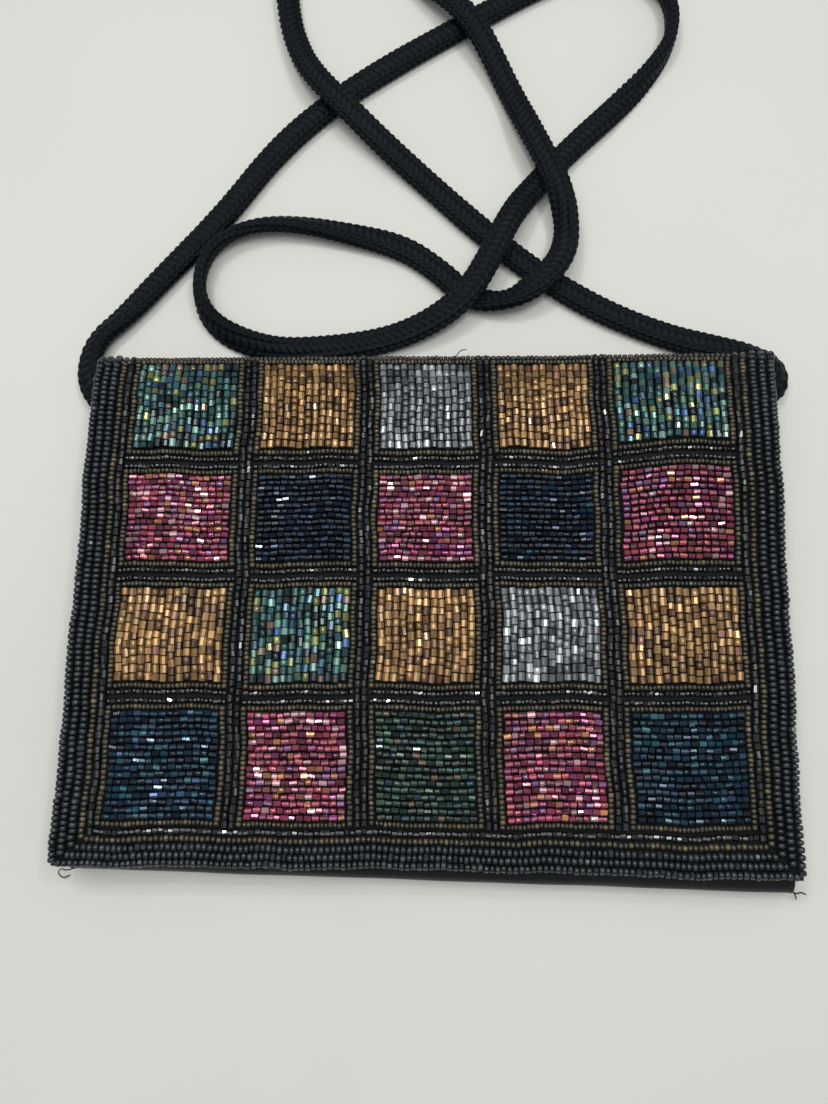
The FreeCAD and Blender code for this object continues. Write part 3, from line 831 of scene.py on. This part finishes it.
def fill_square(beads, palette, row, column):
    """A square's strands: upright in the first and third row, level in the others."""
    upright_strands = 14 if column in (0, 4) else 13
    level_step = 1.9
    low, high = ROW_BOUNDS[row]
    left, right = field_sides(column)
    if row % 2 == 0:
        snug, gap = (0.465, 0.27) if row == 0 else (0.49, 0.18)
        pitch = (right - left) / upright_strands
        for k in range(upright_strands):
            x = left + pitch * (k + 0.5)
            top = high - RNG.uniform(0, 0.5)
            foot = low + RNG.uniform(0, 0.5)
            beads.run((x, foot), (x, top), palette, radius=pitch * snug, gap=gap, **UPRIGHT)
        return
    number = int(round((high - low) / level_step))
    pitch = (high - low) / number
    for k in range(number):
        s = low + pitch * (k + 0.5)
        start = left + RNG.uniform(0, 0.5)
        stop = right - RNG.uniform(0, 0.5)
        beads.run((start, s), (stop, s), palette, radius=pitch * 0.455, **LEVEL)


def make_squares():
    rim = (OUTLINE + GAP) / 2
    for row, (low, high) in enumerate(ROW_BOUNDS):
        outlines = Strands(SEED, 0.1, 0.18)
        for column, colour in enumerate(SQUARES[row]):
            palette, material = COLOURS[colour]
            beads = Strands(TWO_CUT, 0.8, 0.34 if palette is TEAL else 0.26)
            fill_square(beads, palette, row, column)
            name = f"beads_r{row + 1}_c{column + 1}"
            beads.make(name, material, "beads_" + colour, f"bead_square_r{row + 1}_c{column + 1}")
            left, right = field_sides(column)
            foot, top = low - rim - 0.6, high + rim + 0.6
            for x in (left - rim, right + rim):
                outlines.run((x, foot), (x, top), BRONZE_TONES, **RIM_UP)
            for s in (low - rim, high + rim):
                outlines.run((left, s), (right, s), BRONZE_TONES, **RIM_ACROSS)
        name = f"bronze_outlines_row_{row + 1}"
        outlines.make(name, BRONZE, "beads_bronze", f"square_outlines_row_{row + 1}")


def make_lattice():
    """The dark strands between the squares, two side by side, and round them all."""
    foot = ROW_BOUNDS[3][0] - OUTLINE - GAP
    for bar in range(4):
        middle = PITCH * (bar - 1.5)
        strands = Strands(TWO_CUT, 0.8, 0.3)
        for x in (middle - 1.06, middle + 1.06):
            strands.run((x, foot), (x, STRAND_TOP), MATT_TONES, **DARK_UP)
        name = f"dark_column_{bar + 1}"
        strands.make(name, MATT_BLACK, "beads_cut_black", f"lattice_column_{bar + 1}")
    outer = OUTER_FIELD + OUTLINE
    for number, middle in enumerate(BARS, start=1):
        strands = Strands(TWO_CUT, 0.5)
        for column in range(5):
            left = PITCH * (column - 2.5) + BAR_HALF + 0.3
            right = PITCH * (column - 1.5) - BAR_HALF - 0.3
            left = -outer if column == 0 else left
            right = outer if column == 4 else right
            for s in (middle - 1.35, middle + 1.35):
                strands.run((left, s), (right, s), CUT_TONES, **DARK_ACROSS)
        strands.make(f"dark_row_{number}", CUT_BLACK, "beads_cut_black", f"lattice_row_{number}")
    s = foot - GAP - 1.15
    strands = Strands(TWO_CUT, 0.8)
    strands.run((-outer, s), (outer, s), CUT_TONES, **DARK_FOOT)
    strands.make("dark_row_4", CUT_BLACK, "beads_cut_black", "lattice_row_4")
    x = outer + GAP + 1.15
    for side, sign in SIDES:
        strands = Strands(TWO_CUT, 0.8)
        strands.run((x * sign, s - 1.1), (x * sign, STRAND_TOP), MATT_TONES, **DARK_EDGE)
        strands.make(f"dark_edge_{side}", MATT_BLACK, "beads_cut_black", f"cut_column_{side}")


def u_strand(strands, x, s, palette, radius, step):
    """Seeds down one side of the flap, along its foot and up the other side."""
    strands.run((-x, s), (-x, STRAND_TOP), palette, step, radius)
    strands.run((-x + radius, s), (x - radius, s), palette, step, radius * 0.95)
    strands.run((x, s), (x, STRAND_TOP), palette, step, radius)


def make_border():
    """The bronze frame and the three rows of black seeds outside it."""
    bronze = Strands(SEED, 0.1, 0.18)
    u_strand(bronze, 98.5, -67.5, BRONZE_TONES, 0.95, 1.5)
    bronze.run((-97, 83.1), (97, 83.1), EDGE_TONES, **TOP_EDGE)
    bronze.make("bronze_border", BRONZE, "beads_bronze", "bronze_frame")
    for number in range(1, 4):
        rows = Strands(SEED, 0.1, 0.14)
        u_strand(rows, 98.35 + 2.75 * number, -67.55 - 2.2 * number, SEED_TONES, 1.2, 1.7)
        name = f"black_border_seeds_{number}"
        rows.make(name, SEED_BLACK, "beads_seed_black", f"black_border_{number}")


# -------------------------------- cloth
def flap_layer(name, reach, heights, material, slot, node):
    """A closed slab of the flap, between two heights above its ground."""
    side, foot, top = reach
    under, over = heights
    flat_part = np.linspace(foot, FOLD_START - 2, 49)
    rolled_part = np.linspace(FOLD_START - 1.4, top, 9)
    ss = np.concatenate([flat_part, rolled_part])
    grid_x, grid_s = np.meshgrid(np.linspace(-side, side, 73), ss)
    upper = on_flap(grid_x, grid_s, over)
    for edge in (upper[0], upper[:, 0], upper[:, -1]):
        edge[:, 2] -= 0.35 * (over - under)
    layer = slab(name, upper, on_flap(grid_x, grid_s, under))
    finish_piece(layer, material, "flap", slot, node)


def make_flap_cloth():
    flap_layer("ground_cloth", (107.6, -75.3, 84.5), (-0.5, 0.0), GROUND, "ground", "flap_ground")
    flap_layer("flap_wadding", (106.4, -74.1, 78.6), (-1.4, -0.52), WADDING, "wadding", "flap_padding")
    flap_layer("flap_lining_cloth", (107.0, -74.7, 78.4), (-1.95, -1.45), LINING, "lining", "flap_lining")


def foot_roll(angles, deep, swell=0.0):
    """The soft foot's profile: round above, squared below where it wraps the board."""
    cos, sin = np.cos(angles), np.sin(angles)
    out = np.where(sin < 0, rounded(cos, SQUARED), cos)
    up = np.where(sin < 0, rounded(sin, SQUARED), sin)
    return BACK_SEAM + deep * out, FOOT_MIDDLE + (FOOT_HALF + swell) * up


def make_back_satin():
    """The satin from the front seam round the bottom, under the back, up the spine."""
    angles = np.radians(np.linspace(88, 266, 19))
    back = np.stack([np.linspace(-70, 76, 40), np.full(40, 0.32)], -1)
    spine = spaced(round_off([(78.5, 0.32), (82.3, 0.35), (82.7, 3.0), (82.6, 7.4)]), 14)
    lines = []
    for x in np.linspace(PANEL_HALF, -PANEL_HALF, 107):
        deep = BACK_SEAM - np.interp(x, [-PANEL_HALF, PANEL_HALF], [FOOT_LEFT, FOOT_RIGHT])
        roll = 0.25 * math.sin(x / 11.0) + 0.15 * math.sin(x / 4.7 + 1.0)
        foot = np.stack(foot_roll(angles, deep + roll * 0.3, roll * 0.25), -1)
        profile = np.concatenate([foot, back, spine])
        lines.append(np.column_stack([np.full(len(profile), x), profile]))
    grid = np.stack(lines, 1)
    grid[..., 2] = np.maximum(grid[..., 2], 0.02)
    satin = shell("back_satin", grid, 0.5)
    satin.data.materials.append(SATIN)
    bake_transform(satin)
    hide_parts("back_cover", "bottom_fold")


def rippled(xs, path, ripple, step, seed):
    """A grid of points across the bag and up a profile of (y, z), with ripples."""
    grid_x, row = np.meshgrid(xs, np.arange(len(path)))
    y, z = path.T[:, :, None]
    y = y + ripple * waves(grid_x, row * step, seed)
    return np.stack([grid_x, y, np.broadcast_to(z, y.shape)], -1)


def make_spine_satin():
    xs = np.linspace(-106.5, 107.5, 90)
    corners = [(82.9, 6.2), (82.95, 9.1), (82.1, 10.7), (80.6, 11.8), (78.2, 11.9)]
    grid = rippled(xs[::-1], spaced(round_off(corners), 20), 0.14, 2.0, 3.0)
    satin = shell("spine_satin", grid, 0.45)
    satin.data.materials.append(SATIN)
    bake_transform(satin)
    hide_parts("spine_cover")
    grid = rippled(xs, spaced(round_off([(80.9, 2.7), (81.0, 6.0), (80.9, 8.5)]), 12), 0.1, 3.0, 6.0)
    grid[..., 0] *= 0.99
    lining = shell("spine_lining_cloth", grid, 0.4)
    finish_piece(lining, LINING, "spine", "lining", "spine_lining")


def make_front():
    """The front panel's satin, blended over its hinge line, and the pouch's linings."""
    edge = np.array([104.9, 105.5, 106.0])
    xs = np.concatenate([-edge[::-1], np.linspace(-104.3, 104.3, 88), edge])
    ys = np.concatenate([np.linspace(-72.6, -68, 8), np.linspace(-66, 74.9, 60)])
    grid_x, grid_y = np.meshgrid(xs, ys)
    u = np.clip(1 - (grid_x / PANEL_HALF) ** 6, 0, 1)
    v = ramp_up(grid_y, -72, 10) * ramp_up(grid_y, 75, -8)
    height = 9.2 + 0.3 * u * v + 0.16 * waves(grid_x * 0.5, grid_y * 0.7, 2.0) * v
    height += 0.1 * waves(grid_x * 0.8 + grid_y * 0.5, grid_y * 0.4, 7.0) * v
    creases = [(0.35, -60, 5, 0.3), (-0.5, 34, 6, 0.26), (1.2, 12, 7, 0.24), (0.9, -38, 4, 0.22)]
    for lean, offset, width, depth in creases:
        away = grid_x * math.cos(lean) + grid_y * math.sin(lean) - offset
        away = away + 2.5 * waves(grid_y, grid_x, offset)
        height += depth * np.exp(-((away / width) ** 2)) * v
    height -= 1.3 * ramp_up(np.abs(grid_x), 104.4, 1.6) ** 2
    satin = shell("front_satin", np.stack([grid_x, grid_y, height], -1), 0.35)
    satin.data.materials.append(SATIN)
    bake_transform(satin)
    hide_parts("front_cover")
    make_lining("front", 7.55, (-70.9, 74.6), -1)
    make_lining("back", 2.05, (-72.0, 79.5), 1)


def make_lining(body, height, reach, facing):
    """The lining of one panel, which faces up (1) or down (-1) into the pouch."""
    grid_x, grid_y = np.meshgrid(np.linspace(-105.3, 105.3, 80), np.linspace(*reach, 60))
    pucker = 0.1 * waves(grid_x, grid_y, 5.0) + 0.08 * waves(grid_y, grid_x, 9.0)
    grid = np.stack([grid_x, grid_y, height + facing * pucker], -1)
    lining = shell(f"{body}_lining_cloth", grid[:, ::facing], 0.3)
    finish_piece(lining, LINING, body, "lining", f"{body}_lining")


def make_binding():
    """The bound mouth edge: a rolled strip with a row of stitches."""
    turns = np.radians(np.linspace(-30, 210, 12))
    x, angle = np.meshgrid(np.linspace(-PANEL_HALF, PANEL_HALF, 160), turns)
    swell = 0.06 * np.sin(x / 3.1) + 0.05 * np.sin(x / 1.7)
    y = 75.1 + (1.1 + swell) * np.sin(angle)
    z = 8.4 + (1.05 + swell) * np.cos(angle)
    binding = shell("mouth_binding_strip", np.stack([x, y, z], -1), 0.3)
    finish_piece(binding, BINDING, "front", "binding", "mouth_binding")
    stitches("mouth_stitches", [(x, 73.2, 9.62) for x in np.arange(-103, 103.1, 2.6)], "front")
    hem = [on_flap(x, -71.6, -1.97) for x in np.arange(-104, 104.1, 2.6)]
    for x in (-104.2, 104.2):
        hem += [on_flap(x, s, -1.97) for s in np.arange(-70, 76, 2.6)]
    stitches("lining_stitches", hem, "flap")


def make_foot_ends():
    """The gathered satin that closes the soft foot at its two ends."""
    for side, sign in SIDES:
        deep = BACK_SEAM - (FOOT_LEFT if sign < 0 else FOOT_RIGHT)
        y, z = foot_roll(np.radians(np.linspace(90, 268, 31)), deep, -0.1)
        rim_y = np.concatenate([[-67.5, -70], y, [-70, -67.5]])
        rim_z = np.concatenate([[9.1, 9.3], z, [0.45, 0.45]])
        share = np.linspace(0.03, 1, 14)[:, None]
        gathers = 0.35 * share * np.sin(np.arange(len(rim_y)) * 1.9)
        x = sign * (105.2 + gathers + 0.9 * (1 - share ** 2))
        grid = np.stack([x, -70 + (rim_y + 70) * share, 4.8 + (rim_z - 4.8) * share], -1)
        cap = shell(f"foot_end_{side}", grid[:, ::sign], 0.4)
        finish_piece(cap, SATIN, "back", "satin")


def make_spine_ends():
    """A small turned-in hem of satin at each end of the spine."""
    rim = [(76.9, 3.2), (79.5, 2.7), (82.0, 2.8), (82.2, 5), (82.2, 7.6), (81.8, 9.0)]
    rim += [(80.6, 10.0), (79.3, 10.7), (77.6, 10.8), (76.8, 9.4), (76.8, 6.0), (76.9, 3.2)]
    rim_y, rim_z = np.array(rim).T
    share = np.linspace(0.04, 1, 9)[:, None]
    bow = 0.6 * (1 - share ** 2) + 0.12 * share * np.sin(np.arange(len(rim)) * 2.1)
    for side, sign in SIDES:
        x = sign * (105.1 - bow)
        grid = np.stack([x, 79.8 + (rim_y - 79.8) * share, 6.6 + (rim_z - 6.6) * share], -1)
        hem = shell(f"spine_end_{side}", grid[:, ::sign], 0.35)
        finish_piece(hem, SATIN, "spine", "satin")


def stitches(name, places, body):
    """A row of short raised stitches, each along the row's direction."""
    verts, quads = [], []
    local, faces = bead_shape([(-0.5, 0.3), (-0.28, 0.9), (0.28, 0.9), (0.5, 0.3)], 6)
    level = local * np.array([1.5, 0.17, 0.17])
    for number, place in enumerate(places):
        follow = places[min(number + 1, len(places) - 1)]
        back = places[max(number - 1, 0)]
        upright = abs(follow[0] - back[0]) < abs(follow[1] - back[1])
        verts.append(np.array(place) + (level[:, [1, 0, 2]] if upright else level))
        quads.append(faces + number * len(local))
    obj = mesh_object(name, np.concatenate(verts), np.concatenate(quads))
    finish_piece(obj, THREAD, body, "satin")


def make_gussets():
    """The two folded sides, whose folds are deepest between the foot and the mouth."""
    corners = [(0.3, 0.4), (0.2, 1.9), (-3.4, 3.1), (-5.8, 4.8), (-3.4, 6.5), (0.0, 8.6)]
    path = spaced(round_off(corners), 22)
    y, row = np.meshgrid(np.linspace(-71.6, 74.2, 74), np.arange(len(path)))
    inward, z = path.T[:, :, None]
    fold = np.clip((y + 72) / 12, 0.1, 1) * np.clip((70 - y) / 18, 0.25, 1)
    out = 105.6 + inward * fold + 0.12 * waves(y, row, 8.0)
    for side, sign in SIDES:
        grid = np.stack([sign * out, y, np.broadcast_to(z, y.shape)], -1)
        cloth = shell(f"gusset_cloth_{side}", grid[:, ::sign], 0.35)
        cloth.data.materials.append(SATIN)
        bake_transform(cloth)
        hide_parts(f"gusset_{side}")


# -------------------------------- small parts
def thread(name, points, radius, body, slot):
    """A thin round thread along points in mm, tapered to nothing at both ends."""
    tangent = unit(np.gradient(points, axis=0))
    side = unit(np.cross(tangent, np.array([0.05, 0.03, 1.0])))
    radii = np.full((len(points), 1), radius)
    radii[[0, -1]] *= 0.15
    obj = loft(name, points, radii * side, radii * np.cross(side, tangent), 8)
    finish_piece(obj, THREAD, body, slot)


def make_anchors(line):
    """The cord's two bound ends: whipping thread wound over the braid."""
    turns = 13
    for side, end, inner in (("left", line[0], line[8]), ("right", line[-1], line[-9])):
        away = unit(end - inner)
        flat = unit(np.cross(away, np.array([0, 0, 1.0])))
        up = np.cross(flat, away)
        t = np.linspace(0, 1, 220)[:, None]
        angle = t * turns * 2 * np.pi
        helix = end + away * (t * 8.4 - 0.4)
        helix = helix + flat * (3.3 - 0.7 * t ** 3) * np.cos(angle)
        helix = helix + up * (2.25 - 0.5 * t ** 3) * np.sin(angle)
        thread(f"cord_whipping_{side}", helix, 0.36, "back", "braid")
        core_line = end + away * np.linspace(-0.5, 8.6, 24)[:, None]
        share = np.linspace(0, 1, len(core_line))[:, None]
        close = np.sqrt(np.clip(1 - ((share - 0.5) * 2) ** 14, 0.02, 1)) * (1 - 0.2 * share ** 3)
        core = loft(f"cord_end_{side}", core_line, flat * 3.2 * close, up * 2.1 * close, 20)
        finish_piece(core, BRAID, "back", "braid")
        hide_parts(f"cord_anchor_{side}")


def make_threads():
    """The loose ends that hang out: three at the foot, one at the fold."""
    corner = [(105, -82.2, 5), (107.5, -83.4, 4.4), (109.5, -83.0, 3.4), (111.5, -84.0, 2.0)]
    other = [(105.4, -81.6, 4.5), (107.0, -82.6, 3.6), (108.2, -84.2, 2.2), (108.9, -85.6, 1.0)]
    loop = [(-104, -75.4, 8), (-107, -76.4, 7.4), (-109.6, -76.0, 5.0), (-111.4, -77.8, 2.6)]
    loop += [(-110.2, -79.6, 1.0), (-108.4, -78.6, 0.5)]
    top = [(7.5, 79.5, 14.6), (8.2, 82.2, 15.2), (10.2, 84.6, 15.6), (12.0, 84.9, 15.0)]
    thread("frayed_thread_1", resample(round_off(corner), 0.3), 0.22, "back", "satin")
    thread("frayed_thread_2", resample(round_off(other), 0.3), 0.2, "back", "satin")
    thread("frayed_thread_3", resample(round_off(loop), 0.3), 0.18, "back", "satin")
    thread("frayed_thread_4", resample(round_off(top), 0.3), 0.16, "flap", "ground")


def dress_cad_nodes():
    """Materials for the hidden or hard CAD pieces that stay as they are."""
    chosen = {
        "back_board": (BOARD, "board"),
        "front_board": (BOARD, "board"),
        "snap_socket": (NICKEL, "snap_metal"),
        "snap_stud": (NICKEL, "snap_metal"),
    }
    for name, (material, slot) in chosen.items():
        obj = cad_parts[name]
        obj.data.materials.clear()
        obj.data.materials.append(material)


make_camera()
make_stage()
cord_line = make_cord()
make_anchors(cord_line)
make_squares()
make_lattice()
make_border()
make_flap_cloth()
make_back_satin()
make_spine_satin()
make_front()
make_binding()
make_gussets()
make_foot_ends()
make_spine_ends()
make_threads()
dress_cad_nodes()
